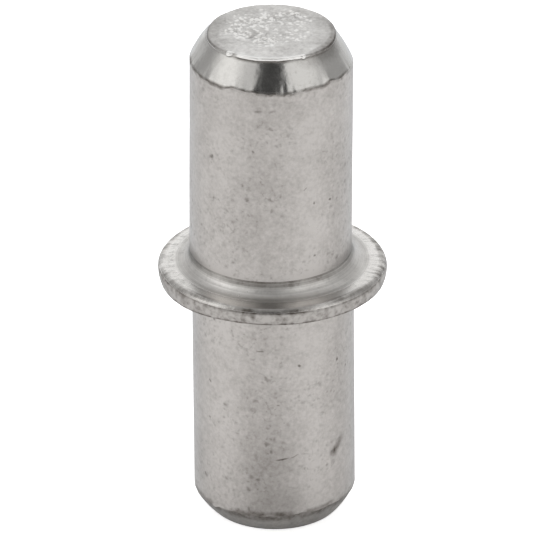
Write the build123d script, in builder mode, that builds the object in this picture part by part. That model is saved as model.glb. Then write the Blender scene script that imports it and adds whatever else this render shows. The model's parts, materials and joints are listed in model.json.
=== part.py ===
from build123d import *
from math import isclose
import os

# Shelf support pin, cold formed in one piece from steel wire.
# The insert end is pushed into a drilled cabinet side until the collar seats on the panel.
# The support end then stands out of the panel and carries the shelf.
# Millimetres. The origin is on the axis at the collar's seat, and +Z runs to the support end.

# Shank: one diameter on both sides of the collar, for a drilled hole of the nominal size
hole_diameter = 5.0
shank_clearance = 0.05
insert_length = 7.8  # from the collar's seat to the insert end
support_length = 7.65  # from the collar's top to the support end

# Collar: upset between two dies, so its faces are true and its rim is left barrelled
collar_diameter = 7.0
collar_thickness = 0.55  # where its top meets the shank
collar_fall = 0.03  # of the top, from the shank out to the shoulder
shoulder_radius = 0.22  # between the top and the rim
rim_draft = 0.05  # how far the rim draws in from its widest line down to the seat
collar_fillet = 0.42  # between the top and the support shank
seat_fillet = 0.1  # between the seat and the insert shank

# Ends: each chamfer is pressed, not cut, and comes out slightly crowned
support_chamfer_width = 0.615
support_chamfer_height = 0.96
support_chamfer_crown = 0.025  # bulge over a straight chamfer
insert_chamfer_width = 0.485
insert_chamfer_height = 0.7
insert_chamfer_crown = 0.04
end_edge_radius = 0.06

# A fillet takes at most this part of the wall that carries it
fillet_limit_share = 0.8

shank_radius = (hole_diameter - shank_clearance) / 2
collar_radius = collar_diameter / 2
support_end = collar_thickness + support_length
support_face_radius = shank_radius - support_chamfer_width
insert_face_radius = shank_radius - insert_chamfer_width
shoulder_height = collar_thickness - collar_fall
rim_height = shoulder_height - shoulder_radius
collar_land = collar_radius - shoulder_radius - shank_radius
collar_root_radius = min(collar_fillet, fillet_limit_share * collar_land)
seat_land = collar_radius - rim_draft - shank_radius
seat_root_radius = min(seat_fillet, fillet_limit_share * seat_land)

os.makedirs("parts", exist_ok=True)

with BuildPart() as shelf_pin:
    # Half section of the whole pin, drawn in X and Z and turned about the axis
    with BuildSketch(Plane.XZ) as section:
        # Shank, with a crowned chamfer at each end
        with BuildLine():
            insert_chamfer = SagittaArc(
                (insert_face_radius, -insert_length),
                (shank_radius, insert_chamfer_height - insert_length),
                -insert_chamfer_crown,
            )
            wall = Line(insert_chamfer @ 1, (shank_radius, support_end - support_chamfer_height))
            support_chamfer = SagittaArc(wall @ 1, (support_face_radius, support_end), -support_chamfer_crown)
            Polyline(support_chamfer @ 1, (0, support_end), (0, -insert_length), insert_chamfer @ 0)
        make_face()

        # Collar: flat seat, rim widest at rim_height, rolled shoulder, top rising slightly to the shank
        with BuildLine():
            rim = TangentArc((collar_radius, rim_height), (collar_radius - rim_draft, 0), tangent=(0, -1))
            shoulder = JernArc(rim @ 0, tangent=(0, 1), radius=shoulder_radius, arc_size=90)
            top = Line(shoulder @ 1, (shank_radius, collar_thickness))
            Polyline(top @ 1, (0, collar_thickness), (0, 0), rim @ 1)
        make_face()

        # Corners on the shank's wall, upwards: insert chamfer, seat root, collar root, support chamfer.
        # The upper root is rounded first, so that the lower one keeps its place in the order.
        for corner, radius in ((2, collar_root_radius), (1, seat_root_radius)):
            wall_corners = section.vertices().filter_by(lambda vertex: isclose(vertex.X, shank_radius))
            fillet(wall_corners.sort_by(Axis.Y)[corner], radius)

        # Each end face keeps a small rounded edge
        for end in (0, -1):
            end_edge = section.vertices().group_by(Axis.Y)[end].sort_by(Axis.X)[-1]
            fillet(end_edge, end_edge_radius)
    revolve(axis=Axis.Z)

shelf_pin.part.label = "shelf_pin"
export_step(shelf_pin.part, "parts/shelf_pin.step")

box = shelf_pin.part.bounding_box()
print(f"shelf_pin: {box.size.X:.3f} x {box.size.Y:.3f} x {box.size.Z:.3f} mm, {shelf_pin.part.volume:.2f} mm3")
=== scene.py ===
# %% [markdown]
# # A shelf support pin, dressed for its picture
# The pin is one piece of steel wire, cold formed between two dies, then plated and tumbled. The CAD frame
# holds its true form. This lesson turns that form into a used-looking plated surface: it draws the
# section again, spins it with Geometry Nodes, roughens each zone as its own tool left it, and lights it
# in a white tent. Lengths are in millimetres and angles in degrees, as on a drawing, and become metres
# where Blender gets them.

# %% Load the frame
import json
import math

import bpy
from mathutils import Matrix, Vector


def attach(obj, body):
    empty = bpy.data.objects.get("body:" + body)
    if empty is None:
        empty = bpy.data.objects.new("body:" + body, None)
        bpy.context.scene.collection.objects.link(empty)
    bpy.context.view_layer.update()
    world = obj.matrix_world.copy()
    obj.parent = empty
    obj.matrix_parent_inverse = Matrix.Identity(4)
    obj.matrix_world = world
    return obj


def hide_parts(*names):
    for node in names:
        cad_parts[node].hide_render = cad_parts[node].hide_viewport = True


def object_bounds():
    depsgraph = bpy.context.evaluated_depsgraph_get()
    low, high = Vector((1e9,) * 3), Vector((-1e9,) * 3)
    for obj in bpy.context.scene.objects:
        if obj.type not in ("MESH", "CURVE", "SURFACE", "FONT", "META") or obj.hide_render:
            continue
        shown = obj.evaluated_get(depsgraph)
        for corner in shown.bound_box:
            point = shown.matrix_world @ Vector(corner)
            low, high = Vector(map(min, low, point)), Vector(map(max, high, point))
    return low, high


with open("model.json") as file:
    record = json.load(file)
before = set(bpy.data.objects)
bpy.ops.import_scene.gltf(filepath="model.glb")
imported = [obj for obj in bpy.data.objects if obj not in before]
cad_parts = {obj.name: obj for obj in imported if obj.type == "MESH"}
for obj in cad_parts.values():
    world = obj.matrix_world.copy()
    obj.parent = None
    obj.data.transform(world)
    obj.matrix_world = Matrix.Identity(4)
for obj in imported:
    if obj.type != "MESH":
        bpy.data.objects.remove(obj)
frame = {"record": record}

MM = 0.001
NODE = "shelf_pin"
cad_low, cad_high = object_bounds()
mounts = {mount["name"]: mount for mount in frame["record"]["mounts"]}
print("CAD box in mm:", [round(x / MM, 3) for x in cad_low], [round(x / MM, 3) for x in cad_high])

# %% [markdown]
# ## Camera
# The picture was taken with a long lens from above the horizon. Such a view is set by five numbers that
# can be measured on it: the height of the camera, its distance, how many pixels one millimetre takes at
# the origin, and the pixel where the origin lies. The lens length and the aim follow from those, so
# nothing is turned by hand.

# %% Place the camera
IMAGE_SIDE = 533
SENSOR_WIDTH = 36.0
CLIP_NEAR, CLIP_FAR = 10, 10000
camera_elevation = math.radians(27.0)
camera_distance = 272.5
pixels_per_mm = 32.79
origin_pixel = (272.4, 273.4)

towards_camera = Vector((0, -math.cos(camera_elevation), math.sin(camera_elevation)))
picture_right = Vector((1, 0, 0))
picture_up = towards_camera.cross(picture_right)
centre_pixel = IMAGE_SIDE / 2
aim = (
    picture_right * (centre_pixel - origin_pixel[0]) / pixels_per_mm
    + picture_up * (origin_pixel[1] - centre_pixel) / pixels_per_mm
)

camera_data = bpy.data.cameras.new("camera")
camera_data.sensor_width = SENSOR_WIDTH
camera_data.lens = SENSOR_WIDTH * pixels_per_mm * camera_distance / IMAGE_SIDE
camera_data.clip_start = CLIP_NEAR * MM
camera_data.clip_end = CLIP_FAR * MM
camera = bpy.data.objects.new("camera", camera_data)
camera.location = (aim + towards_camera * camera_distance) * MM
camera.rotation_euler = (-towards_camera).to_track_quat("-Z", "Y").to_euler()
bpy.context.scene.collection.objects.link(camera)
bpy.context.scene.camera = camera
print(f"camera: lens {camera_data.lens:.1f} mm at {camera_distance} mm")

# %% [markdown]
# ## Writing sums with nodes
# Every texture below is a sum of masks and noises. Wiring Math nodes one by one hides the sum, so these
# helpers let a node's output be used in ordinary arithmetic. Each operator adds one Math node to the
# tree.

# %% A number worked out by nodes
def plug(tree, value, socket):
    """Links a socket or a Term to this input, or sets a plain value on it."""
    if isinstance(value, Term):
        value = value.socket
    if isinstance(value, bpy.types.NodeSocket):
        tree.links.new(value, socket)
    else:
        socket.default_value = value


def add_node(tree, kind, inputs=None, **settings):
    """Adds a node, sets its properties, and plugs its inputs by name or by number."""
    node = tree.nodes.new(kind)
    for name, value in settings.items():
        setattr(node, name, value)
    for name, value in (inputs or {}).items():
        plug(tree, value, node.inputs[name])
    return node


class Term:
    """One number worked out by nodes, for use in sums."""

    def __init__(self, tree, socket):
        self.tree = tree
        self.socket = socket

    def math(self, operation, *others):
        """This number, and others, put through one Math node."""
        node = add_node(self.tree, "ShaderNodeMath", operation=operation)
        for value, socket in zip((self, *others), node.inputs):
            plug(self.tree, value, socket)
        return Term(self.tree, node.outputs[0])

    def __add__(self, other):
        return self.math("ADD", other)

    def __sub__(self, other):
        return self.math("SUBTRACT", other)

    def __mul__(self, other):
        return self.math("MULTIPLY", other)

    def __truediv__(self, other):
        return self.math("DIVIDE", other)

    __radd__ = __add__
    __rmul__ = __mul__

    def __rsub__(self, other):
        return (self * -1) + other

    def size(self):
        """This number without its sign."""
        return self.math("ABSOLUTE")

    def over(self, floor):
        """This number, or floor where it is less."""
        return self.math("MAXIMUM", floor)

    def under(self, ceiling):
        """This number, or ceiling where it is more."""
        return self.math("MINIMUM", ceiling)

    def rise(self, low, high):
        """0 up to low, 1 from high, smooth between them."""
        node = add_node(
            self.tree,
            "ShaderNodeMapRange",
            {"Value": self, "From Min": low, "From Max": high},
            interpolation_type="SMOOTHSTEP",
        )
        return Term(self.tree, node.outputs["Result"])

    def fall(self, low, high):
        """1 up to low, 0 from high, smooth between them."""
        return 1 - self.rise(low, high)

    def window(self, low, high, soft):
        """1 between low and high, 0 outside, with soft edges."""
        return self.rise(low - soft, low + soft) * self.fall(high - soft, high + soft)

    def peak(self, centre, reach):
        """1 at centre, falling in a straight line to 0 at reach on both sides."""
        return (1 - (self - centre).size() / reach).over(0)

    def between(self, low, high):
        """low where this mask is 0, high where it is 1."""
        return low + self * (high - low)


print("sums ready")

# %% Vectors and noises
def split(tree, vector):
    """The X, Y and Z of a vector, as three Terms."""
    node = add_node(tree, "ShaderNodeSeparateXYZ", {"Vector": vector})
    return [Term(tree, output) for output in node.outputs]


def joined(tree, x, y, z):
    """Three numbers or Terms as one vector."""
    return add_node(tree, "ShaderNodeCombineXYZ", {"X": x, "Y": y, "Z": z}).outputs[0]


def scaled(tree, vector, factor):
    """A vector times one number."""
    node = add_node(tree, "ShaderNodeVectorMath", {0: vector, "Scale": factor}, operation="SCALE")
    return node.outputs[0]


LEAST_LENGTH = 0.001


def length(x, y):
    """The length of a flat vector, never quite zero, so that it can divide."""
    return (x * x + y * y).math("SQRT").over(LEAST_LENGTH)


NOISE_MEAN = 0.5


def noise(tree, vector, scale, detail=2.0, roughness=0.5, seed=0.0):
    """Soft noise from 0 to 1, with an average near one half."""
    node = add_node(
        tree,
        "ShaderNodeTexNoise",
        {"Vector": vector, "W": seed, "Scale": scale, "Detail": detail, "Roughness": roughness},
        noise_dimensions="4D",
    )
    return Term(tree, node.outputs[0])


def swing(tree, vector, scale, **settings):
    """The same noise about zero, from minus one half to one half."""
    return noise(tree, vector, scale, **settings) - NOISE_MEAN


def warped(tree, vector, scale, amount):
    """The same vector, pushed about by noise, so that what is drawn on it loses its regular outline."""
    colour = add_node(tree, "ShaderNodeTexNoise", {"Vector": vector, "Scale": scale}).outputs["Color"]
    push = add_node(tree, "ShaderNodeVectorMath", {0: colour, 1: (NOISE_MEAN,) * 3}, operation="SUBTRACT")
    push = scaled(tree, push.outputs[0], amount)
    return add_node(tree, "ShaderNodeVectorMath", {0: vector, 1: push}, operation="ADD").outputs[0]


def cells(tree, vector, scale):
    """Distance to the nearest of many scattered points, in cells, and two random numbers of that point."""
    node = add_node(tree, "ShaderNodeTexVoronoi", {"Vector": vector, "Scale": scale})
    chance, size, _ = split(tree, node.outputs["Color"])
    return Term(tree, node.outputs["Distance"]), chance, size


print("noises ready")

# %% [markdown]
# ## Floor
# The pin stands on a sheet of matt white card. A plane is all it takes. It lies a hair below the pin,
# because two faces in one place flicker, and a Light Path node whitens it for the camera alone, as an
# overexposed ground is.

# %% Make the floor
FLOOR_SIDE = 300
floor_gap = 0.01
card_white = (0.95, 0.95, 0.95, 1)
glow_white = (1, 1, 1, 1)
card_roughness = 0.9
card_gloss = 0.1
card_glow = 0.07
card_whitening = 0.6

floor_height = cad_low.z - floor_gap * MM
bpy.ops.mesh.primitive_plane_add(size=FLOOR_SIDE * MM, location=(0, 0, floor_height))
floor = bpy.context.object
floor.name = "floor"
card = bpy.data.materials.new("white_card")
card.use_nodes = True
card_shader = card.node_tree.nodes["Principled BSDF"]
card_shader.inputs["Base Color"].default_value = card_white
card_shader.inputs["Roughness"].default_value = card_roughness
card_shader.inputs["Specular IOR Level"].default_value = card_gloss
card_shader.inputs["Emission Color"].default_value = glow_white
seen = Term(card.node_tree, add_node(card.node_tree, "ShaderNodeLightPath").outputs["Is Camera Ray"])
plug(card.node_tree, card_glow + seen * card_whitening, card_shader.inputs["Emission Strength"])
floor.data.materials.append(card)
print("floor at", round(floor_height / MM, 3), "mm")

# %% [markdown]
# ## Light tent
# A shiny part is photographed in a white tent, because it mirrors whatever stands round it. Area lights
# could stand for every sheet of such a tent, but the World can hold them all: an even dome with darker
# corners and roof, a panel on each side with a lamp behind the left one, a sheet behind, a sweep of light
# at the horizon, a lamp under the roof, and the narrow dark opening that the camera looks through. Each
# is a mask of two angles: round the pin, and up from the horizon.

# %% Hang the tent
TENT_GLOW = 0.62
panel_low, panel_high, panel_soft = 12, 60, 7
opening_reach = (0.26, 0.36)
opening_low, opening_high, opening_soft = 23, 61, 5
opening_back = (-0.2, 0.0)
opening_dark = 0.9

tent = bpy.data.worlds.new("light_tent")
tent.use_nodes = True
sky = tent.node_tree
sky.nodes.clear()
x, y, z = split(sky, add_node(sky, "ShaderNodeTexCoord").outputs["Generated"])
height = z.math("ARCSINE").math("DEGREES")
side = x.math("ARCTAN2", y * -1).math("DEGREES")
aside = side.size()
panel_height = height.window(panel_low, panel_high, panel_soft)
tent_parts = [
    # name, strength, mask up from the horizon, mask round the pin from the camera's side
    ("left_panel", 0.22, panel_height, side.rise(-114, -88) * side.fall(-28, -16)),
    ("left_lamp", 0.5, panel_height, side.rise(-116, -86) * side.fall(-68, -44)),
    ("right_panel", 0.48, panel_height, side.rise(16, 28) * side.fall(66, 94)),
    ("back_sheet", 0.48, height.fall(26, 38), aside.rise(140, 158)),
    ("back_corners", -0.14, height.fall(34, 52), aside.window(90, 142, 10)),
    ("horizon_sweep", 0.34, height.fall(2, 7), aside.window(96, 165, 8)),
    ("roof_lamp", 1.2, height.window(56, 76, 4), aside.rise(150, 160)),
    ("roof", -0.2, height.rise(62, 80), 1),
]
light = TENT_GLOW
for _, strength, up_mask, round_mask in tent_parts:
    light = light + up_mask * round_mask * strength
opening = x.size().fall(*opening_reach) * height.window(opening_low, opening_high, opening_soft)
light = light * (1 - opening_dark * opening * y.fall(*opening_back))

background = add_node(sky, "ShaderNodeBackground", {"Color": glow_white, "Strength": light})
add_node(sky, "ShaderNodeOutputWorld", {"Surface": background.outputs[0]})
bpy.context.scene.world = tent
bpy.context.scene.view_settings.view_transform = "Standard"
print("tent of", ", ".join(name for name, *_ in tent_parts))

# %% [markdown]
# ## Softbox
# The tent alone leaves the card a little flat, so a softbox high up behind the pin lights it. Metal would
# show the box as one more bright square, and the picture has none there, so glossy rays don't see it.

# %% Add the softbox
SOFTBOX_SIDE = 200
SOFTBOX_DISTANCE = 300
softbox_elevation = math.radians(66)
softbox_power = 0.34

softbox_data = bpy.data.lights.new("softbox", "AREA")
softbox_data.size = SOFTBOX_SIDE * MM
softbox_data.energy = softbox_power
softbox = bpy.data.objects.new("softbox", softbox_data)
towards_softbox = Vector((0, math.cos(softbox_elevation), math.sin(softbox_elevation)))
softbox.location = towards_softbox * SOFTBOX_DISTANCE * MM
softbox.visible_glossy = False
softbox.rotation_euler = (-towards_softbox).to_track_quat("-Z", "Y").to_euler()
bpy.context.scene.collection.objects.link(softbox)
print("softbox at", [round(x / MM) for x in softbox.location], "mm")

# %% [markdown]
# ## Section of the pin
# The whole pin is one half section spun about its axis. The section is written as stretches, each a
# straight line or an arc with its own number of rings, so that rings are close together where there is
# something to see. Every ring knows how far it lies along the section, counted from the middle of the
# support end. Creases and edges are found again by that distance, both by the lathe and by the materials.

# %% Sizes of the section
shank_radius = mounts["insert_shank"]["dims"]["r_mm"]
support_end = cad_high.z / MM
insert_end = cad_low.z / MM
collar_radius = min(cad_high.x, cad_high.y, -cad_low.x, -cad_low.y) / MM
collar_thickness = 0.55
collar_fall = 0.03
shoulder_radius = 0.22
shoulder_split = 30
rim_draft = 0.05
rim_bow = 0.012
collar_fillet = 0.42
seat_fillet = 0.1
support_chamfer_width, support_chamfer_height, support_chamfer_crown = 0.615, 0.96, 0.008
insert_chamfer_width, insert_chamfer_height, insert_chamfer_crown = 0.485, 0.7, 0.04
burr_room = 0.02
face_sink = 0.005
lip_radius = 0.06
lip_middle = 1.88
lip_from, lip_to = 94, -5
lip_drop = 0.12
inner_lip = 1.70
crease_run = 0.08
print(f"section from {support_end:.2f} to {insert_end:.2f} mm")
print(f"radius {shank_radius} mm at the shanks and {collar_radius:.2f} mm at the collar")

# %% Lines and arcs
def straight(start, end, rings):
    """Points from start up to, but not including, end."""
    return [tuple(a + (b - a) * k / rings for a, b in zip(start, end)) for k in range(rings)]


def bowed(start, end, crown, rings):
    """A shallow arc over the line from start to end, bulging by crown to the line's left."""
    line = Vector(end) - Vector(start)
    bulge = Vector((-line.y, line.x)).normalized() * crown
    shares = [k / rings for k in range(rings)]
    return [tuple(Vector(start) + line * t + bulge * 4 * t * (1 - t)) for t in shares]


def on_circle(centre, radius, angle):
    """The point of a circle at an angle in degrees."""
    turn = math.radians(angle)
    return (centre[0] + radius * math.cos(turn), centre[1] + radius * math.sin(turn))


def rounded(centre, radius, start_angle, end_angle, rings):
    """An arc about a centre, between two angles in degrees."""
    step = (end_angle - start_angle) / rings
    return [on_circle(centre, radius, start_angle + step * k) for k in range(rings)]


print("lines, bows and arcs ready")

# %% Corners of the section, as radius and height
support_face = shank_radius - support_chamfer_width
insert_face = shank_radius - insert_chamfer_width
support_edge = support_end - support_chamfer_height
insert_edge = insert_end + insert_chamfer_height
shoulder_height = collar_thickness - collar_fall
rim_height = shoulder_height - shoulder_radius
chamfer_slope = math.atan2(support_chamfer_height, support_chamfer_width)

face_edge = (inner_lip, support_end - burr_room - face_sink)
lip_centre = (lip_middle, support_end - burr_room - lip_radius)
lip_inside = on_circle(lip_centre, lip_radius, lip_from)
lip_outside = on_circle(lip_centre, lip_radius, lip_to)
chamfer_top = (support_face + lip_drop / math.tan(chamfer_slope), support_end - lip_drop)
support_crease = (shank_radius, support_edge)
below_crease = (shank_radius, support_edge - crease_run)
shank_foot = (shank_radius, collar_thickness + collar_fillet)
fillet_centre = (shank_radius + collar_fillet, collar_thickness + collar_fillet)
fillet_end = (shank_radius + collar_fillet, collar_thickness)
shoulder_start = (collar_radius - shoulder_radius, shoulder_height)
shoulder_centre = (collar_radius - shoulder_radius, rim_height)
rim_top = (collar_radius, rim_height)
rim_bottom = (collar_radius - rim_draft, 0.0)
seat_root = (shank_radius + seat_fillet, 0.0)
seat_centre = (shank_radius + seat_fillet, -seat_fillet)
insert_shank_top = (shank_radius, -seat_fillet)
above_insert_crease = (shank_radius, insert_edge + crease_run)
insert_crease = (shank_radius, insert_edge)
insert_rim = (insert_face, insert_end)
print(f"support face {support_face:.3f} mm, insert face {insert_face:.3f} mm in radius")

# %% List the stretches
stretches = [
    # name, zone, points of its rings
    ("end_face", "sheared_end", straight((0, face_edge[1]), face_edge, 64)),
    ("inner_lip", "sheared_end", straight(face_edge, lip_inside, 4)),
    ("lip", "sheared_end", rounded(lip_centre, lip_radius, lip_from, lip_to, 7)),
    ("overhang", "burnished", straight(lip_outside, chamfer_top, 4)),
    ("chamfer", "burnished", bowed(chamfer_top, support_crease, support_chamfer_crown, 26)),
    ("crease", "shank", straight(support_crease, below_crease, 4)),
    ("support_shank", "shank", straight(below_crease, shank_foot, 48)),
    ("fillet", "pressed", rounded(fillet_centre, collar_fillet, 180, 270, 16)),
    ("collar_top", "pressed", straight(fillet_end, shoulder_start, 12)),
    ("shoulder", "pressed", rounded(shoulder_centre, shoulder_radius, 90, shoulder_split, 9)),
    ("outer_shoulder", "upset", rounded(shoulder_centre, shoulder_radius, shoulder_split, 0, 6)),
    ("rim", "upset", bowed(rim_top, rim_bottom, rim_bow, 14)),
    ("seat", "pressed", straight(rim_bottom, seat_root, 5)),
    ("seat_fillet", "pressed", rounded(seat_centre, seat_fillet, 90, 180, 4)),
    ("insert_shank", "shank", straight(insert_shank_top, above_insert_crease, 52)),
    ("insert_crease", "shank", straight(above_insert_crease, insert_crease, 4)),
    ("insert_chamfer", "dull_end", bowed(insert_crease, insert_rim, insert_chamfer_crown, 16)),
    ("insert_face", "dull_end", straight(insert_rim, (0, insert_end), 8)),
]
ring_points = [point for _, _, run in stretches for point in run] + [(0, insert_end)]
ring_zones = [zone for _, zone, run in stretches for _ in run] + ["dull_end"]
along = [0.0]
for here, there in zip(ring_points, ring_points[1:]):
    along.append(along[-1] + math.dist(here, there))

starts = {}
ring = 0
for name, _, run in stretches:
    starts[name] = along[ring]
    ring += len(run)
print(len(ring_points), "rings;", ", ".join(f"{name} from {start:.2f}" for name, start in starts.items()))

# %% [markdown]
# ## Spinning the section
# A lathe is a rule: every point of the section goes once round the axis. A Screw modifier knows that rule
# too, but a Geometry Nodes tree can go on and shape what it has spun. A flat grid is laid out with one
# column for each step round and one row for each ring, then each row is rolled up at the radius and
# height of its ring. The seam and the two poles are closed by merging. The flat layout stays as the UV
# map, since it is the pin's skin unrolled.

# %% Store the section as a mesh
ZONES = ["sheared_end", "burnished", "shank", "pressed", "upset", "dull_end"]
section = bpy.data.meshes.new("pin_section")
section.from_pydata([(r * MM, 0, h * MM) for r, h in ring_points], [], [])
zone_numbers = [ZONES.index(zone) for zone in ring_zones]
section.attributes.new("zone", "INT", "POINT").data.foreach_set("value", zone_numbers)
section.attributes.new("along", "FLOAT", "POINT").data.foreach_set("value", along)
pin = bpy.data.objects.new("pin", section)
bpy.context.scene.collection.objects.link(pin)
print("section stored,", len(section.vertices), "points")

# %% Start the lathe tree
lathe = bpy.data.node_groups.new("pin_lathe", "GeometryNodeTree")
lathe_inputs = {"Section": "Geometry", "Segments": "Int", "Seed": "Float"}
lathe_sizes = ["Torn Depth", "Burr Height", "Crease Wave", "Rim Depth", "Wall Wave"]
lathe_sizes += ["Upper Shift", "Lower Lean"]
lathe_inputs.update(dict.fromkeys(lathe_sizes, "Float"))
for name, kind in lathe_inputs.items():
    lathe.interface.new_socket(name, in_out="INPUT", socket_type="NodeSocket" + kind)
lathe.interface.new_socket("Pin", in_out="OUTPUT", socket_type="NodeSocketGeometry")
given_node = add_node(lathe, "NodeGroupInput")
given = {name: Term(lathe, given_node.outputs[name]) for name in lathe_inputs}
result = add_node(lathe, "NodeGroupOutput")
position = add_node(lathe, "GeometryNodeInputPosition").outputs[0]
print("lathe inputs:", ", ".join(given))

# %% Reading and writing the mesh inside the tree
def ring_value(index, kind, value):
    """The section's own value at one ring."""
    inputs = {"Geometry": given["Section"]}
    node = add_node(lathe, "GeometryNodeSampleIndex", inputs, data_type=kind, domain="POINT", clamp=True)
    plug(lathe, value, node.inputs["Value"])
    plug(lathe, index, node.inputs["Index"])
    return node.outputs["Value"]


def named(name, kind):
    """A stored attribute."""
    node = add_node(lathe, "GeometryNodeInputNamedAttribute", {"Name": name}, data_type=kind)
    return node.outputs["Attribute"]


def store(geometry, name, kind, domain, value):
    """Writes a field to the mesh as a named attribute."""
    inputs = {"Geometry": geometry, "Name": name}
    node = add_node(lathe, "GeometryNodeStoreNamedAttribute", inputs, data_type=kind, domain=domain)
    plug(lathe, value, node.inputs["Value"])
    return node.outputs["Geometry"]


def moved(geometry, **inputs):
    """The geometry after a Set Position node."""
    named_inputs = {name.capitalize(): value for name, value in inputs.items()}
    return add_node(lathe, "GeometryNodeSetPosition", {"Geometry": geometry, **named_inputs}).outputs[0]


print("tree helpers ready")

# %% Lay out the grid and roll it up
MERGE_DISTANCE = 1e-5
HALF_GRID = 0.5
ROUNDING_GUARD = 0.25
counted = {"Geometry": given["Section"]}
counter = add_node(lathe, "GeometryNodeAttributeDomainSize", counted, component="MESH")
rings = Term(lathe, counter.outputs["Point Count"])
grid = add_node(
    lathe,
    "GeometryNodeMeshGrid",
    {"Size X": 1.0, "Size Y": 1.0, "Vertices X": given["Segments"] + 1, "Vertices Y": rings},
)
across, down, _ = split(lathe, position)
ring_index = ((down + HALF_GRID) * (rings - 1) + ROUNDING_GUARD).math("FLOOR")
turn = (across + HALF_GRID) * (2 * math.pi)
ring_along = Term(lathe, ring_value(ring_index, "FLOAT", named("along", "FLOAT")))

unrolled = joined(lathe, across + HALF_GRID, ring_along / along[-1], 0)
skin = store(grid.outputs["Mesh"], "OFBake", "FLOAT2", "CORNER", unrolled)
skin = store(skin, "zone", "INT", "FACE", ring_value(ring_index, "INT", named("zone", "INT")))
skin = store(skin, "along", "FLOAT", "POINT", ring_along)
radius, _, ring_height = split(lathe, ring_value(ring_index, "FLOAT_VECTOR", position))
rolled = joined(lathe, radius * turn.math("SINE"), radius * turn.math("COSINE"), ring_height)
skin = moved(skin, position=rolled)
close_points = {"Geometry": skin, "Distance": MERGE_DISTANCE * MM}
merged = add_node(lathe, "GeometryNodeMergeByDistance", close_points)
skin = merged.outputs[0]
print("lathe tree:", len(lathe.nodes), "nodes after rolling up")

# %% [markdown]
# ## How the dies left it
# No cold-formed pin is a perfect turning. The two die halves never meet exactly, so the support shank
# sits a little to one side of the collar and the insert shank leans. The support chamfer is fuller at the
# back, the creases between chamfers and walls wander, and the insert chamfer is slightly askew. Sculpting
# could do this once, but as offsets added to the rolled-up skin each shift keeps its own size, at most
# about two tenths of a millimetre. An azimuth of 0 faces the camera, and positive ones lie to the right.

# %% Where each point lies
point = scaled(lathe, position, 1 / MM)
x, y, z = split(lathe, point)
reach = length(x, y)
right = x / reach
front = y / reach * -1
azimuth = x.math("ARCTAN2", y * -1).math("DEGREES")
round_point = joined(lathe, right * shank_radius, front * shank_radius, 0)
where = Term(lathe, named("along", "FLOAT"))
seed = given["Seed"]
print("lathe tree:", len(lathe.nodes), "nodes after finding the place")

# %% Shift and lean the shanks
lower_step = 0.012
# the upper shift fades by this share for each millimetre up
upper_taper = 0.068

upper = z.rise(collar_thickness, collar_thickness + collar_fillet)
lower = z.fall(-seat_fillet, 0)
sideways = given["Upper Shift"] * upper * (1 - z * upper_taper)
sideways = sideways + lower * (lower_step + given["Lower Lean"] * (z * -1).over(0))
print("lathe tree:", len(lathe.nodes), "nodes after the shanks")

# %% Fill out the support chamfer and its lip
belly_left, belly_right = 0.095, 0.02
belly_from, belly_to, belly_soft = 88, 150, 14
# brings the belly's curve to 1 where it is fullest
belly_scale = 2.6
lip_crest = starts["lip"] + 0.06
lip_reach = 0.14
lip_wander = 0.08
lip_spreads = [
    # azimuth from and to, softness, spread down the chamfer
    (-88, -40, 8, 0.05),
    (34, 82, 8, 0.04),
    (-125, -96, 6, -0.03),
]

chamfer_length = starts["crease"] - starts["chamfer"]
chamfer_share = ((where - starts["chamfer"]) / chamfer_length).over(0).under(1)
fuller = belly_left * azimuth.window(-belly_to, -belly_from, belly_soft)
fuller = fuller + belly_right * azimuth.window(belly_from, belly_to, belly_soft)
fuller = fuller * belly_scale * chamfer_share.math("SQRT") * (1 - chamfer_share)
spread = lip_wander * swing(lathe, round_point, scale=1.5, detail=3.0, seed=seed + 9)
for *span, amount in lip_spreads:
    spread = spread + azimuth.window(*span) * amount
spread = spread * where.peak(lip_crest, lip_reach)
outwards = fuller + spread * math.cos(chamfer_slope)
downwards = spread * math.sin(chamfer_slope)
print("lathe tree:", len(lathe.nodes), "nodes after the chamfer")

# %% Let the creases wander and move the skin
crease_lift = 0.03
crease_fade = 0.4
crease_power = 4
back_left_rise, back_right_drop = 0.08, 0.13
back_from, back_to, back_soft = 86, 140, 8
crease_notches = [
    # azimuth, reach, height
    (-28, 6, 0.05),
    (46, 6, 0.06),
    (-52, 5, 0.03),
]
insert_wave_reach = 0.3
insert_skew, insert_skew_reach = 0.055, 0.8
rim_sag, rim_sag_reach = 0.05, 0.35
rim_sag_span = (-72, -38, 12)

crease_share = (1 - (where - starts["crease"]).over(0) / crease_fade).over(0)
crease_share = crease_share * chamfer_share.math("POWER", crease_power)
crease_noise = swing(lathe, round_point, scale=1.6, detail=3.0, roughness=0.55, seed=seed)
crease_step = back_left_rise * azimuth.window(-back_to, -back_from, back_soft)
crease_step = crease_step - back_right_drop * azimuth.window(back_from, back_to, back_soft)
for notch_azimuth, notch_reach, notch_height in crease_notches:
    crease_step = crease_step + notch_height * azimuth.peak(notch_azimuth, notch_reach).rise(0, 1)
upwards = (given["Crease Wave"] * crease_noise + crease_step + crease_lift) * crease_share

insert_noise = swing(lathe, round_point, scale=2.2, detail=2.0, roughness=0.55, seed=seed + 5)
insert_wave = given["Crease Wave"] * insert_noise * where.peak(starts["insert_chamfer"], insert_wave_reach)
skewed = insert_skew * right * where.peak(starts["insert_chamfer"], insert_skew_reach)
sagged = rim_sag * azimuth.window(*rim_sag_span)
sagged = sagged * where.peak(starts["seat"], rim_sag_reach)
upwards = upwards + insert_wave + skewed - sagged

shift = joined(lathe, sideways + outwards * right, outwards * front * -1, upwards - downwards)
skin = moved(skin, offset=scaled(lathe, shift, MM))
print("lathe tree:", len(lathe.nodes), "nodes after the die shifts")

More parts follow.
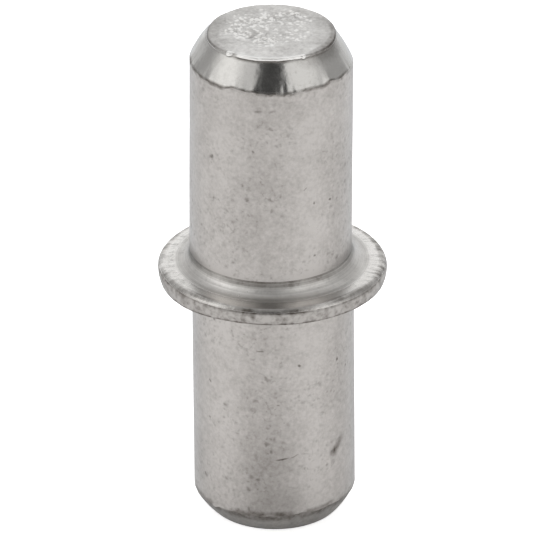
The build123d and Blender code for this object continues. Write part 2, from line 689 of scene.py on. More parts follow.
# %% [markdown]
# ## Torn, burred and upset surfaces
# The support end was sheared off the wire: its middle tore, most of all along two lines, and left crumbs.
# The glints on the crumbs and the shade in the hollows between them are painted, and the lathe stores them
# for the material. A burr with two nubs stands along the edge that parted last. The collar's rim was
# squeezed out between the dies with nothing to form it, so it is rough all over. Bump could fake all this,
# but these are real hollows and ridges, so the skin is moved along its normal, by less than a tenth of a
# millimetre.

# %% Tear the support end
torn_middle = (-0.12, 0.3)
torn_width, torn_length = 1.6, 1.35
torn_edge, torn_edge_wave = (0.8, 1.05), 1.1
torn_lines = [
    # from and to, each as x and y
    ((0.95, 1.4), (-1.4, 0.25)),
    ((-1.4, 0.25), (0.1, -0.8)),
]
torn_line_width = 0.42
torn_elsewhere = 0.6
face_margin = (0.15, 0.03)
drawn_share = 0.3
coarse_depth, facet_depth, depth_range = 0.4, 0.5, (0.3, 1.3)
facet_edge, facet_odds = (0.1, 0.52), (0.0, 0.7)
grit_edge, grit_odds, grit_share = (0.1, 0.5), (0.3, 0.8), 0.5
hollow_shade_edge, hollow_shade_share = (0.35, 0.65), 0.12


def line_mask(x, y, start, end, width):
    """1 on the line from start to end, falling to 0 at width beside it."""
    run = (Vector(end) - Vector(start)).normalized()
    lengthwise = (x - start[0]) * run.x + (y - start[1]) * run.y
    crosswise = (y - start[1]) * run.x - (x - start[0]) * run.y
    return lengthwise.window(0, math.dist(start, end), width / 2) * crosswise.peak(0, width)


face = where.fall(starts["inner_lip"] - face_margin[0], starts["inner_lip"] + face_margin[1])
patch_x = (x - torn_middle[0]) / torn_width
patch_y = (y - torn_middle[1]) / torn_length
patch_reach = (patch_x * patch_x + patch_y * patch_y).math("SQRT")
patch_wave = swing(lathe, point, scale=1.3, detail=3.0, seed=seed + 1)
patch = (patch_reach + patch_wave * torn_edge_wave).fall(*torn_edge)
torn_share = torn_elsewhere
for start, end in torn_lines:
    torn_share = torn_share + line_mask(x, y, start, end, torn_line_width)
patch = face * patch * torn_share

torn_point = warped(lathe, point, scale=3.0, amount=0.15)
coarse, coarse_chance, _ = cells(lathe, torn_point, scale=5.0)
facet, facet_chance, _ = cells(lathe, torn_point, scale=6.6)
grit, grit_chance, _ = cells(lathe, torn_point, scale=11.0)
torn = coarse_depth * coarse * coarse_chance.between(*depth_range)
torn = torn + facet_depth * facet * facet_chance.between(*depth_range)
drawn = swing(lathe, point, scale=2.2, detail=4.0, roughness=0.6, seed=seed + 2)
hollow = given["Torn Depth"] * (drawn_share * face * drawn - patch * torn)
# painted highlight on the raised facets and grit, painted shade in the hollows between the coarse cells
glint = facet.fall(*facet_edge) * facet_chance.rise(*facet_odds)
glint = glint + grit_share * grit.fall(*grit_edge) * grit_chance.rise(*grit_odds)
hollow_shade = coarse.rise(*hollow_shade_edge) * coarse_chance
crumb = patch * (glint - hollow_shade_share * hollow_shade)
skin = store(skin, "crumb", "FLOAT", "POINT", crumb)
print("lathe tree:", len(lathe.nodes), "nodes after the torn end")

# %% Raise the burr
burr_from, burr_to, burr_soft = -33, 29, 3
burr_crest, burr_reach = starts["lip"] + 0.05, 0.085
burr_gaps, burr_least = (0.2, 0.7), 0.3
nubs = [
    # azimuth, reach in degrees, height in burr heights
    (-41.0, 3.5, 1.9),
    (28.5, 2.4, 1.2),
]
nub_reach = 0.1

burr_noise = noise(lathe, round_point, scale=4.0, detail=2.0, seed=seed + 3).rise(*burr_gaps)
burr = azimuth.window(burr_from, burr_to, burr_soft) * where.peak(burr_crest, burr_reach)
burr = burr * burr_noise.between(burr_least, 1)
for nub_azimuth, nub_width, nub_height in nubs:
    nub_x = (azimuth - nub_azimuth) / nub_width
    nub_y = (where - lip_crest) / nub_reach
    burr = burr + nub_height * (1 - nub_x * nub_x - nub_y * nub_y).over(0).math("SQRT")
print(len(nubs), "nubs on a burr from", burr_from, "to", burr_to, "degrees")

# %% Roughen the rim and the walls, and move the skin
shoulder_share, shoulder_soft = 0.12, 0.04
rim_inset = 0.1
groove_share = 0.06
wall_from = (2.2, 2.6)
grooves = [
    # distance past the start of the collar's top, reach
    (-0.06, 0.04),
    (0.1, 0.05),
]

upset_run = shoulder_share * where.window(starts["shoulder"], starts["seat"], shoulder_soft)
rim_run = where.window(starts["outer_shoulder"] + rim_inset, starts["seat"], rim_inset)
upset_run = upset_run + (1 - shoulder_share) * rim_run
upset = swing(lathe, point, scale=3.2, detail=4.0, roughness=0.65, seed=seed + 4).under(0)
groove = sum(where.peak(starts["collar_top"] + offset, groove_reach) for offset, groove_reach in grooves)
wall = swing(lathe, point, scale=0.5, detail=1.0, seed=seed + 6) * where.rise(*wall_from)
relief = hollow + given["Burr Height"] * burr + given["Wall Wave"] * wall
relief = relief + given["Rim Depth"] * (upset_run * upset - groove_share * groove)
normal = add_node(lathe, "GeometryNodeInputNormal").outputs[0]
skin = moved(skin, offset=scaled(lathe, normal, relief * MM))

x, y, z = split(lathe, position)
trimmed = joined(lathe, x, y, z.over(insert_end * MM).under(support_end * MM))
skin = moved(skin, position=trimmed)
skin = add_node(lathe, "GeometryNodeSetShadeSmooth", {"Geometry": skin}).outputs[0]
print("lathe tree:", len(lathe.nodes), "nodes after the relief")

# %% [markdown]
# ## Plating, tumbling marks and grime
# All zones wear the same thin plating, tumbled in a drum with thousands of others: it is cloudy, finely
# grained and dotted with small dark pits. One node group makes those marks, and each material mixes in as
# much as its zone shows. A second group draws a thin dark line where two zones meet: mostly grime and
# plating salts that stay there, and in a few places painted shade. A third draws one mark at a given
# place, for the few scratches that stand out.

# %% A new shader group
def new_group(name, inputs, outputs):
    """An empty shader group, with its inputs as Terms and its output node."""
    group = bpy.data.node_groups.new(name, "ShaderNodeTree")
    for label, kind in inputs.items():
        group.interface.new_socket(label, in_out="INPUT", socket_type="NodeSocket" + kind)
    for label in outputs:
        group.interface.new_socket(label, in_out="OUTPUT", socket_type="NodeSocketFloat")
    ins = add_node(group, "NodeGroupInput")
    outs = add_node(group, "NodeGroupOutput")
    return group, {label: Term(group, ins.outputs[label]) for label in inputs}, outs


print("shader groups can be started")

# %% Tumbled plating
pit_strength, pit_least, pit_spread, pit_odds = 0.43, 0.16, 0.26, (0.1, 0.5)
dot_strength, dot_reach, dot_odds = 0.31, 0.5, (0.2, 0.6)
curl_strength, curl_reach, curl_breaks = 0.22, 0.05, (0.53, 0.66)
gathering = (0.36, 0.6)
cloud_base, wide_cloud, close_cloud = 0.075, 0.3, 0.55

tumbled, take, give = new_group(
    "tumbled_plating", {"Point": "Vector", "Seed": "Float"}, ["Pits", "Cloud", "Grain"]
)
spot = warped(tumbled, take["Point"], scale=6.0, amount=0.17)
distance, chance, size = cells(tumbled, spot, scale=3.0)
pits = distance.fall(0, pit_least + pit_spread * size) * chance.rise(*pit_odds)
gathered = noise(tumbled, take["Point"], scale=0.55, detail=1.0, seed=take["Seed"]).rise(*gathering)
distance, chance, _ = cells(tumbled, spot, scale=7.0)
dots = distance.fall(0, dot_reach) * chance.rise(*dot_odds)
curl = swing(tumbled, spot, scale=3.2, detail=1.0, seed=take["Seed"] + 4).size()
broken = noise(tumbled, take["Point"], scale=3.6, detail=1.0, seed=take["Seed"] + 5).rise(*curl_breaks)
curls = curl.fall(0, curl_reach) * broken
marks = pit_strength * pits * gathered.between(0.2, 1.0) + dot_strength * dots * gathered
marks = marks + curl_strength * curls * gathered.between(0.3, 1.0)
plug(tumbled, marks, give.inputs["Pits"])

wide = noise(tumbled, take["Point"], scale=0.6, detail=1.0, seed=take["Seed"] + 1)
close = noise(tumbled, take["Point"], scale=2.4, detail=4.0, roughness=0.65, seed=take["Seed"] + 2)
plug(tumbled, cloud_base + wide_cloud * wide + close_cloud * close, give.inputs["Cloud"])
grain = noise(tumbled, take["Point"], scale=8.0, detail=3.0, roughness=0.7, seed=take["Seed"] + 3)
plug(tumbled, grain, give.inputs["Grain"])
print("group", tumbled.name, "with", len(tumbled.nodes), "nodes")

# %% Grime in a crease
grime_core = 0.3
creased, take, give = new_group(
    "crease_grime", {"Along": "Float", "Crease": "Float", "Width": "Float"}, ["Grime"]
)
apart = (take["Along"] - take["Crease"]).size()
plug(creased, apart.fall(take["Width"] * grime_core, take["Width"]), give.inputs["Grime"])
print("group", creased.name, "with", len(creased.nodes), "nodes")

# %% A single mark
MARK_SIZES = ("Azimuth", "Height", "Length", "Width", "Slant")
mark_core = 0.3
mark_half_width = 0.6

mark_inputs = {"Point": "Vector", **dict.fromkeys(MARK_SIZES, "Float")}
struck, take, give = new_group("single_mark", mark_inputs, ["Mark"])
x, y, z = split(struck, warped(struck, take["Point"], scale=7.0, amount=0.06))
sideways = (x.math("ARCTAN2", y * -1) - take["Azimuth"].math("RADIANS")) * shank_radius
upwards = z - take["Height"]
slant = take["Slant"].math("RADIANS")
lengthwise = sideways * slant.math("COSINE") + upwards * slant.math("SINE")
crosswise = upwards * slant.math("COSINE") - sideways * slant.math("SINE")
half = take["Length"] / 2
mark = lengthwise.size().fall(half * mark_core, half)
mark = mark * crosswise.size().fall(0, take["Width"] * mark_half_width)
plug(struck, mark, give.inputs["Mark"])
print("group", struck.name, "with", len(struck.nodes), "nodes")

# %% [markdown]
# ## A start that every finish shares
# All six finishes are the same plated steel, so they share one class. It places the groups in a new
# material and ends by mixing clean metal with a dark tone, which stands for tarnish and, in some zones,
# for painted shade. The Principled BSDF stays in the material, where the export can read it.

# %% The plated material
MIX_FACTOR, MIX_CLEAN, MIX_DARK, MIX_RESULT = 0, 6, 7, 2
edge_tint = (0.79, 0.81, 0.83)
# the dark tone stands for tarnish, and in several zones for painted shade
tarnish_and_shade = (0.115, 0.10, 0.087)
rubbed_from, rubbed_share = (64, 80), 0.8
PATCH_EDGE = (0.35, 0.6)


class Plated:
    """A metal material with the tumbled plating group placed in it, ready for its zone's own marks."""

    def __init__(self, name, seed):
        self.material = bpy.data.materials.new(name)
        self.material.use_nodes = True
        self.tree = self.material.node_tree
        self.shader = self.tree.nodes["Principled BSDF"]
        self.shader.inputs["Specular Tint"].default_value = (*edge_tint, 1)
        place = add_node(self.tree, "ShaderNodeTexCoord").outputs["Object"]
        self.point = scaled(self.tree, place, 1 / MM)
        self.x, self.y, self.z = split(self.tree, self.point)
        self.azimuth = self.x.math("ARCTAN2", self.y * -1).math("DEGREES")
        self.along = self.stored("along")
        marks = self.placed(tumbled, {"Point": self.point, "Seed": seed})
        self.pits = marks["Pits"]
        self.cloud = marks["Cloud"] - NOISE_MEAN
        self.grain = marks["Grain"] - NOISE_MEAN

    def stored(self, name):
        """A value that the lathe stored on the mesh."""
        node = add_node(self.tree, "ShaderNodeAttribute", attribute_name=name)
        return Term(self.tree, node.outputs["Fac"])

    def placed(self, group, inputs):
        """The outputs of a shader group that is placed here with these inputs."""
        node = add_node(self.tree, "ShaderNodeGroup", inputs, node_tree=group)
        return {output.name: Term(self.tree, output) for output in node.outputs}

    def patches(self, scale, edge=PATCH_EDGE, **settings):
        """Soft patches: 0 where a noise is low, 1 where it is high."""
        return noise(self.tree, self.point, scale, **settings).rise(*edge)

    def swing(self, scale, **settings):
        """Noise about zero, at this material's points."""
        return swing(self.tree, self.point, scale, **settings)

    def darkening(self, base, pits, cloud, grain):
        """The even part of a zone's stain: its base tone and its shares of the tumbling marks."""
        return base + self.pits * pits + self.cloud * cloud + self.grain * grain

    def dark_line(self, crease, width, offset=0.0):
        """A dark line of this width where a stretch starts, or a little past it."""
        place = {"Along": self.along, "Crease": starts[crease] + offset, "Width": width}
        return self.placed(creased, place)["Grime"]

    def crease_grime(self, width):
        """The line at the support crease, mostly rubbed off at the right."""
        return self.dark_line("crease", width) * (1 - rubbed_share * self.azimuth.rise(*rubbed_from))

    def mark(self, *sizes):
        """One mark, given by its azimuth, height, length, width and slant."""
        return self.placed(struck, {"Point": self.point, **dict(zip(MARK_SIZES, sizes))})["Mark"]

    def finish(self, clean, darkening, roughness, relief, crust=0.0):
        """Mixes clean metal with tarnish and painted shade; sets roughness, relief in mm, share of crust.
        """
        plug(self.tree, 1 - crust, self.shader.inputs["Metallic"])
        mix = add_node(self.tree, "ShaderNodeMix", {MIX_FACTOR: darkening}, data_type="RGBA", clamp_factor=True)
        mix.inputs[MIX_CLEAN].default_value = (*clean, 1)
        mix.inputs[MIX_DARK].default_value = (*tarnish_and_shade, 1)
        plug(self.tree, mix.outputs[MIX_RESULT], self.shader.inputs["Base Color"])
        plug(self.tree, roughness, self.shader.inputs["Roughness"])
        bump = add_node(self.tree, "ShaderNodeBump", {"Height": relief, "Distance": MM})
        plug(self.tree, bump.outputs["Normal"], self.shader.inputs["Normal"])
        print("material", self.material.name, "with", len(self.tree.nodes), "nodes")
        return self.material


finishes = {}
print(len(ZONES), "finishes to make")

# %% [markdown]
# ## Finish of the walls
# Both shanks are drawn wire, dull from tumbling, with a few dark nicks and scratches. Lengthwise bands
# round them are partly streaks from the drawing die and partly painted shade, darker at the front and near
# both edges, and a band low on the front is painted shade for the pin's shadow on the card. The plating
# group gives the even part. The streaks and nicks are short lists, each with its own place, because a
# noise can't put one scratch in a chosen place.

# %% Streaks and marks on the walls
# streaks from the drawing die, and painted shade: the dark bands at the front and near both edges
streaks_and_shade = [
    # azimuth, reach, strength
    (-6, 26, 0.11),
    (54, 18, 0.09),
    (82, 14, 0.08),
    (-84, 14, 0.06),
    (-62, 12, 0.05),
    (-38, 16, -0.05),
    (28, 14, -0.06),
]
wall_marks = [
    # azimuth, height, length, width, slant, strength
    (53.5, -5.05, 0.8, 0.34, 48, 0.38),
    (47.5, -5.27, 0.42, 0.4, 10, 0.46),
    (7.0, -5.12, 0.5, 0.07, 10, 0.6),
    (16.0, -5.04, 0.36, 0.05, 20, 0.45),
    (24.0, -5.02, 0.36, 0.045, -12, 0.3),
    (-46.7, 4.83, 0.21, 0.16, 35, 0.6),
    (-13.5, 5.32, 0.11, 0.10, 0, 0.55),
    (-10.0, 6.67, 0.34, 0.12, 5, 0.34),
    (0.0, 6.69, 0.3, 0.12, 15, 0.34),
    (30.7, 3.46, 0.10, 0.12, 0, 0.6),
    (45.2, 3.40, 0.13, 0.11, -30, 0.7),
    (23.5, 3.99, 0.20, 0.05, 35, 0.55),
    (31.4, 1.67, 0.12, 0.10, -30, 0.7),
    (51.8, -2.13, 0.13, 0.15, 0, 0.7),
    (19.1, -1.95, 0.12, 0.13, 40, 0.75),
    (-50.9, -2.86, 0.18, 0.10, -40, 0.6),
    (-51.5, -4.13, 0.16, 0.12, -20, 0.55),
    (4.0, -3.25, 0.14, 0.09, 0, 0.5),
    (-9.0, -1.42, 0.34, 0.06, 5, 0.45),
]
print(len(streaks_and_shade), "streaks and", len(wall_marks), "marks on the walls")

# %% Dull walls
dull_steel = (0.535, 0.51, 0.49)
wall_grime = 0.5
# each span or height is given as from, to and softness
foot_heights, foot_shine = (collar_thickness, 1.3, 0.5), 0.2
low_front_span, low_front_heights, low_front_painted_shadow = (-18, 15, 12), (-7.6, -4.6, 1.2), 0.14
wall_roughness, rougher_marks, rougher_cloud = 0.3, 0.2, 0.2
mark_depth, grain_height = 0.004, 0.0015


def dull_wall():
    plated = Plated("shank", seed=2.0)
    patchy = plated.patches(scale=2.5, detail=3.0, seed=2.0)
    dark_line = plated.crease_grime(width=0.09) + plated.dark_line("insert_chamfer", width=0.2)
    darkening = plated.darkening(base=0.12, pits=0.85, cloud=0.85, grain=0.75) + wall_grime * patchy * dark_line
    # die streaks, with painted shade at the front and near both edges
    for centre, reach, strength in streaks_and_shade:
        darkening = darkening + plated.azimuth.peak(centre, reach).rise(0, 1) * strength
    foot = plated.z.window(*foot_heights)
    # painted shade: a darker band low on the front stands for the pin's shadow on the card, mirrored in the
    # wall
    reflected_front_shadow = plated.azimuth.window(*low_front_span) * plated.z.window(*low_front_heights)
    darkening = darkening + low_front_painted_shadow * reflected_front_shadow - foot_shine * foot
    dents = plated.pits
    for *sizes, strength in wall_marks:
        mark = plated.mark(*sizes) * strength
        darkening = darkening + mark
        dents = dents + mark
    roughness = wall_roughness + rougher_marks * dents + rougher_cloud * plated.cloud
    relief = plated.grain * grain_height - dents * mark_depth
    return plated.finish(dull_steel, darkening, roughness, relief)


finishes["shank"] = dull_wall()

# %% [markdown]
# ## Finish of the support chamfer
# The die slid over the support chamfer and burnished it like a mirror. A mirror needs little colour of
# its own: low roughness lets the tent do the work, and faint streaks, a slow ripple and grime along both
# edges keep it real. Under the burr the dark line is dirt and painted shade where the burr overhangs.

# %% Burnished chamfer
bright_steel = (0.56, 0.548, 0.526)
burr_shade_span = (burr_from, burr_to - 14, 5)
smear_span, smear_stain = (26, 78, 14), 0.45
smear_run = (starts["chamfer"], starts["chamfer"] + 0.55)
mirror_roughness, rougher_streak, rougher_grime = 0.19, 0.12, 0.2
chamfer_pit_depth, streak_height, ripple_height = 0.002, 0.001, 0.008


def burnished_chamfer():
    plated = Plated("burnished", seed=11.0)
    under_burr = plated.azimuth.window(*burr_shade_span)
    blotch = plated.patches(scale=3.0, detail=2.0, seed=3.0)
    dark_line = plated.crease_grime(width=0.12) * blotch.between(0.35, 0.8)
    # under the burr: dirt and painted shade where the burr overhangs the chamfer
    dark_line = dark_line + plated.dark_line("overhang", width=0.13) * under_burr.between(0.28, 0.78)
    smear = plated.azimuth.window(*smear_span) * plated.along.fall(*smear_run)
    darkening = plated.darkening(base=0.0, pits=0.4, cloud=0.6, grain=0.35) + dark_line + smear_stain * smear
    streak = plated.swing(scale=9.0, detail=3.0)
    ripple = plated.swing(scale=2.5, detail=2.0, seed=7.0)
    roughness = mirror_roughness + rougher_streak * streak + rougher_grime * dark_line
    relief = streak * streak_height + ripple * ripple_height - plated.pits * chamfer_pit_depth
    return plated.finish(bright_steel, darkening, roughness, relief)


finishes["burnished"] = burnished_chamfer()

# %% [markdown]
# ## Finish of the sheared end
# The torn end is the brightest metal on the pin. The lathe stored painted glints on the crumbs and painted
# shade in their hollows, so the material can lighten and darken those points without guessing where they
# are. The lip is darker, by dirt and by painted shade that dims its reflections, except along the burr and
# its nubs, which take a painted highlight.

# %% Torn end
torn_steel = (0.92, 0.905, 0.88)
crumb_shading_share = 0.85
burr_highlight_share = 0.4
lip_dirt_and_shade, worn_stain, outer_ring_darkening = 0.26, 0.2, 0.2
burr_edge, nub_edge = 4, 1
lip_run = (starts["lip"] + 0.03, starts["overhang"] + 0.05, 0.03)
bright_run = (starts["lip"] - 0.03, starts["overhang"], 0.03)
worn_run = (starts["inner_lip"] + 0.08, starts["overhang"] + 0.05, 0.05)
worn_span = (38, 110, 8)
ring_from = (1.25, 1.7)
ring_side, ring_back = (40, 70), (110, 140)
torn_roughness, rougher_face = 0.36, 0.2
pebble_height, torn_grain_height, torn_pit_depth = 0.02, 0.003, 0.003


def torn_end():
    plated = Plated("sheared_end", seed=17.0)
    aside = plated.azimuth.size()
    # the burr's azimuths: no painted shade on the lip here, and the painted highlight goes here
    clean = plated.azimuth.window(burr_from, burr_to, burr_edge)
    for nub_azimuth, nub_width, _ in nubs:
        nub = plated.azimuth.window(nub_azimuth - nub_width, nub_azimuth + nub_width, nub_edge)
        clean = clean.over(nub)
    lip = plated.along.window(*lip_run)
    worn = plated.along.window(*worn_run) * plated.azimuth.window(*worn_span)
    # darker towards the face's outer edge at the sides
    outer_ring = plated.along.rise(*ring_from) * aside.rise(*ring_side) * aside.fall(*ring_back)
    # painted highlight along the burr and its nubs
    painted_burr_highlight = plated.along.window(*bright_run) * clean
    # crumbs: lightened by painted glints, darkened by painted shade in their hollows
    darkening = plated.darkening(base=0.295, pits=0.4, cloud=0.9, grain=0.6) - crumb_shading_share * plated.stored("crumb")
    # the lip darker except at the burr: dirt and painted shade that dims its reflections
    darkening = darkening + lip_dirt_and_shade * lip * (1 - clean) + worn_stain * worn + outer_ring_darkening * outer_ring
    darkening = darkening - burr_highlight_share * painted_burr_highlight
    roughness = torn_roughness + rougher_face * plated.cloud
    pebble = plated.swing(scale=4.5, detail=2.0, seed=6.0)
    relief = pebble * pebble_height + plated.grain * torn_grain_height - plated.pits * torn_pit_depth
    return plated.finish(torn_steel, darkening, roughness, relief)


finishes["sheared_end"] = torn_end()

# %% [markdown]
# ## Finish of the collar's top
# The die pressed the collar's top and printed its own turning marks there, as rings in the fillet. On the
# flat the metal flowed outwards and left short radial drag marks, strongest at the sides. Dirt and worn
# plating darken the edge, with painted shade added at the front quarters. A dark fold line, deepened with
# painted shade, runs along the front, a greyer band of painted shade lies in the fillet, and a dull crust
# covers the edge at the back. The rings are a noise of the distance along the section alone, and the drag
# marks one of the direction, stretched along the flow.

# %% Marks on the collar's top
turned_scale, fine_turned_scale, drag_scale = 9.0, 26.0, 14.0
drag_length = 0.13
drag_side, drag_front, drag_flank = (48, 74), 0.25, 1.35
flat_run = (starts["collar_top"] + 0.1, starts["outer_shoulder"], 0.08)


class CollarMarks:
    """Turning rings, drag marks and the flat's mask, in the collar's own material."""

    def __init__(self, plated):
        tree = plated.tree
        profile = joined(tree, plated.along, 0, 0)
        self.turned = swing(tree, profile, turned_scale, detail=4.0, roughness=0.9)
        self.fine_turned = swing(tree, profile, fine_turned_scale, detail=2.0)
        reach = length(plated.x, plated.y)
        direction = joined(tree, plated.x / reach, plated.y / reach, plated.along * drag_length)
        drag = swing(tree, direction, drag_scale, detail=4.0, roughness=0.66)
        self.drag = drag * plated.azimuth.size().rise(*drag_side).between(drag_front, drag_flank)
        self.flat = plated.along.window(*flat_run)


print("drag marks from", drag_side[0], "degrees at the sides")

# %% Dirt and painted shade on the collar's top
fold_span = (-21, 18, 5)
foot_width, foot_offset = 0.2, 0.07
foot_clean_left, foot_left_stain = (-45, -10), 0.15
bowl_run, bowl_shade_strength = (starts["fillet"] + 0.2, starts["fillet"] + 0.42, 0.06), 0.25
bowl_end_run, bowl_end_shade_strength = (starts["fillet"] + 0.42, starts["collar_top"] + 0.05, 0.06), 0.3
flank_side = (44, 60)
seat_edge = (starts["seat"] - 0.05, starts["seat"])
edge_run = (starts["shoulder"] - 0.04, starts["outer_shoulder"])
edge_stain, right_edge_stain, left_edge_stain = 0.5, 0.15, 0.08
right_flank_span, left_flank_span, left_front_span = (50, 115, 8), (-115, -68, 8), (-66, -24, 8)
late_left, early_right = 0.03, 0.1
ragged_drag, ragged_wave = 0.05, 0.3
quarter_span, quarter_shade_strength = (30, 50, 6), 0.75
quarter_run = (starts["shoulder"] - 0.03, starts["shoulder"] + 0.16, 0.03)


def collar_foot(plated):
    """A dark line where the fillet starts, in patches and fainter at the left."""
    patches = plated.patches(scale=0.7, detail=2.0, seed=8.0)
    strength = patches.between(0.33, 0.63) + foot_left_stain * plated.azimuth.rise(*foot_clean_left)
    return plated.dark_line("fillet", foot_width, offset=foot_offset) * strength


def collar_bowl_shade(plated):
    """Painted shade: a greyer band in the fillet, wider at the sides."""
    bowl = plated.along.window(*bowl_run)
    bowl_end = plated.along.window(*bowl_end_run) * plated.azimuth.size().rise(*flank_side)
    return bowl_shade_strength * bowl + bowl_end_shade_strength * bowl_end


def above_seat(plated):
    """1 on the collar down to its seat, 0 below."""
    return plated.along.fall(*seat_edge)


def collar_edge(plated, drag):
    """A ragged dark edge round the shoulder, earlier at the right, and painted shade at the front quarters.
    """
    right_flank = plated.azimuth.window(*right_flank_span)
    left_flank = plated.azimuth.window(*left_flank_span)
    left_front = plated.azimuth.window(*left_front_span)
    ragged = ragged_drag * drag + ragged_wave * plated.swing(scale=2.2, detail=3.0, seed=9.0)
    edge = plated.along - late_left * left_flank + early_right * right_flank + ragged
    # painted shade at the front quarters of the shoulder
    front_quarter_shade = plated.azimuth.size().window(*quarter_span) * plated.along.window(*quarter_run)
    edge = (edge.rise(*edge_run) + quarter_shade_strength * front_quarter_shade) * above_seat(plated)
    return edge * (edge_stain + right_edge_stain * right_flank + left_edge_stain * left_front)


print("fold line from", fold_span[0], "to", fold_span[1], "degrees")

# %% Pressed collar
pressed_steel = (0.79, 0.771, 0.742)
turned_stain, fine_turned_stain, drag_stain = 0.5, 0.6, 1.9
turned_height, fine_turned_height, drag_height = 0.025, 0.004, 0.016
flat_turned_share = 0.4
edge_patches = (0.45, 0.65)
back_side = (84, 106)
crust_lead, crust_lead_right = 0.01, 0.03
crust_span = (50, 170, 8)
crust_edge = (-0.03, 0.05)
crust_stain, crust_roughness, crust_share = 0.42, 0.2, 0.8
fold_and_shade_strength, fold_width, fold_offset = 0.5, 0.085, -0.06
flat_roughness, rougher_bowl, rougher_collar = 0.24, 0.06, 0.2


def collar_crust(plated):
    """A dull crust over the edge at the back."""
    lead = crust_lead + crust_lead_right * plated.azimuth.window(*crust_span)
    crust = (plated.along - starts["shoulder"] + lead).rise(*crust_edge)
    return crust * plated.azimuth.size().rise(*back_side) * above_seat(plated)


def pressed_collar():
    plated = Plated("pressed", seed=23.0)
    marks = CollarMarks(plated)
    bowl = 1 - marks.flat
    patchy = plated.patches(scale=1.2, edge=edge_patches, detail=4.0, roughness=0.65, seed=4.0)
    crust = collar_crust(plated)
    # a dark line at the front: a fold, deepened by painted shade where the shoulder mirrors the dark
    # opening
    fold_and_shade = plated.dark_line("outer_shoulder", fold_width, offset=fold_offset)
    fold_and_shade = fold_and_shade * plated.azimuth.window(*fold_span)
    darkening = plated.darkening(base=0.0, pits=0.35, cloud=0.6, grain=0.3)
    # the fillet's greyer band is painted shade
    darkening = darkening + collar_foot(plated) + collar_bowl_shade(plated)
    darkening = darkening + turned_stain * marks.turned + fine_turned_stain * marks.fine_turned * bowl
    darkening = darkening + drag_stain * marks.drag * marks.flat + crust_stain * crust
    darkening = darkening + collar_edge(plated, marks.drag) * patchy.between(0.6, 1.0)
    darkening = darkening + fold_and_shade_strength * fold_and_shade * patchy.between(0.8, 1.3)
    roughness = flat_roughness + rougher_bowl * bowl + rougher_collar * plated.cloud
    roughness = roughness + crust_roughness * crust
    relief = turned_height * marks.turned * marks.flat.between(1.0, flat_turned_share)
    relief = relief + drag_height * marks.drag * marks.flat + fine_turned_height * marks.fine_turned * bowl
    return plated.finish(pressed_steel, darkening, roughness, relief, crust * crust_share)


finishes["pressed"] = pressed_collar()

# %% [markdown]
# ## Finish of the rim
# The rim kept the rough skin that it was squeezed out with. The lathe gave it its large hollows. Here a
# mottle of clean and dark patches follows at a finer scale, in colour, roughness and relief together, so
# that a dark patch is also a dull and a raised one.

# %% Upset rim
grey_steel = (0.465, 0.443, 0.423)
mottle_stain, mottle_most = 2.3, 0.42
seat_line, shoulder_line, rim_fold_and_shade_strength = 0.45, 0.25, 0.35
rim_roughness, rougher_mottle = 0.38, 0.3
mottle_height, rim_grain_height, rim_pit_depth = 0.02, 0.003, 0.005


def upset_rim():
    plated = Plated("upset", seed=31.0)
    mottle = plated.swing(scale=5.6, detail=3.0, roughness=0.52, seed=1.0)
    # the same fold line with its painted shade, on the rim's side of the shoulder
    fold_and_shade = plated.dark_line("outer_shoulder", width=0.07) * plated.azimuth.window(*fold_span)
    edge = plated.dark_line("seat", width=0.08) * seat_line
    edge = edge + plated.dark_line("outer_shoulder", width=0.06) * shoulder_line
    darkening = plated.darkening(base=0.185, pits=0.6, cloud=0.0, grain=0.4) + edge + rim_fold_and_shade_strength * fold_and_shade
    darkening = darkening + (mottle * mottle_stain).under(mottle_most)
    roughness = rim_roughness + rougher_mottle * mottle
    relief = mottle * mottle_height + plated.grain * rim_grain_height - plated.pits * rim_pit_depth
    return plated.finish(grey_steel, darkening, roughness, relief)


finishes["upset"] = upset_rim()

# %% [markdown]
# ## Finish of the insert end
# The insert chamfer kept its rough skin, and goes into a hole where nobody looks. It is the dullest zone:
# the same plating over a coarse grain, with grime where it meets the wall.

# %% Dull insert end
dark_steel = (0.47, 0.45, 0.431)
end_grime_width = 0.34
end_patches = (0.3, 0.6)
end_roughness, rougher_end = 0.42, 0.2
end_grain_height, end_pit_depth = 0.004, 0.004


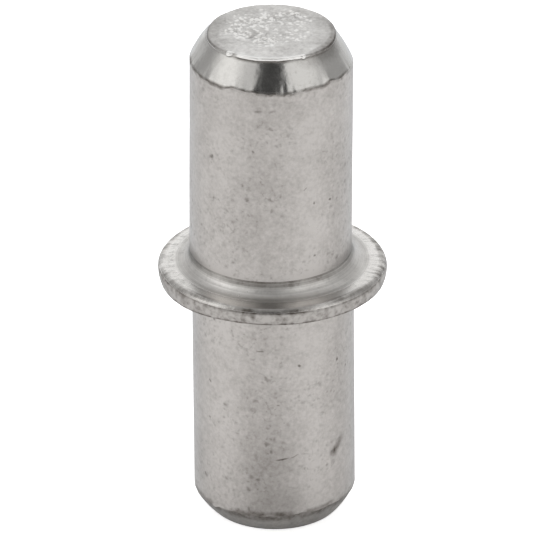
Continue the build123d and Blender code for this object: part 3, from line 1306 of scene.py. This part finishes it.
def dull_end():
    plated = Plated("dull_end", seed=41.0)
    patchy = plated.patches(scale=3.0, edge=end_patches, detail=3.0, seed=2.0)
    dark_line = plated.dark_line("insert_chamfer", end_grime_width) * patchy.between(0.2, 0.6)
    darkening = plated.darkening(base=0.1, pits=0.5, cloud=0.8, grain=1.0) + dark_line
    roughness = end_roughness + rougher_end * plated.cloud
    relief = plated.grain * end_grain_height - plated.pits * end_pit_depth
    return plated.finish(dark_steel, darkening, roughness, relief)


finishes["dull_end"] = dull_end()

# %% [markdown]
# ## Spin it
# The tree ends by giving each zone its finish. Its inputs are set on the modifier by their identifiers,
# the result is read back as a plain mesh, and the modifier goes, so that the frame sees an ordinary
# piece.

# %% Give the zones their materials
COMPARE_A, COMPARE_B = 2, 3
skin = add_node(lathe, "GeometryNodeRealizeInstances", {"Geometry": skin}).outputs[0]
for index, zone in enumerate(ZONES):
    chosen = add_node(lathe, "FunctionNodeCompare", data_type="INT", operation="EQUAL")
    plug(lathe, named("zone", "INT"), chosen.inputs[COMPARE_A])
    plug(lathe, index, chosen.inputs[COMPARE_B])
    painted = add_node(lathe, "GeometryNodeSetMaterial", {"Geometry": skin, "Selection": chosen.outputs[0]})
    painted.inputs["Material"].default_value = finishes[zone]
    skin = painted.outputs[0]
plug(lathe, skin, result.inputs["Pin"])
print("lathe tree:", len(lathe.nodes), "nodes in all")

# %% Run the lathe and keep a plain mesh
settings = {
    "Segments": 320,
    "Seed": 3.0,
    "Torn Depth": 0.042,
    "Burr Height": 0.05,
    "Crease Wave": 0.32,
    "Rim Depth": 0.12,
    "Wall Wave": 0.012,
    "Upper Shift": -0.062,
    "Lower Lean": 0.0085,
}
modifier = pin.modifiers.new("pin_lathe", "NODES")
modifier.node_group = lathe
for item in lathe.interface.items_tree:
    if item.name in settings:
        modifier[item.identifier] = settings[item.name]
turned_pin = pin.evaluated_get(bpy.context.evaluated_depsgraph_get())
plain = bpy.data.meshes.new_from_object(turned_pin)
plain.name = "pin"
pin.modifiers.remove(modifier)
pin.data = plain
triangles = sum(len(face.vertices) - 2 for face in plain.polygons)
print("pin:", len(plain.vertices), "points,", triangles, "triangles,", len(plain.materials), "materials")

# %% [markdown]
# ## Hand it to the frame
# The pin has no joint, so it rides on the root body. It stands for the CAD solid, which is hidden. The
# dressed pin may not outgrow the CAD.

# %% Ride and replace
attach(pin, "root")
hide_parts(NODE)
print(pin.name, "rides on root and replaces", NODE)
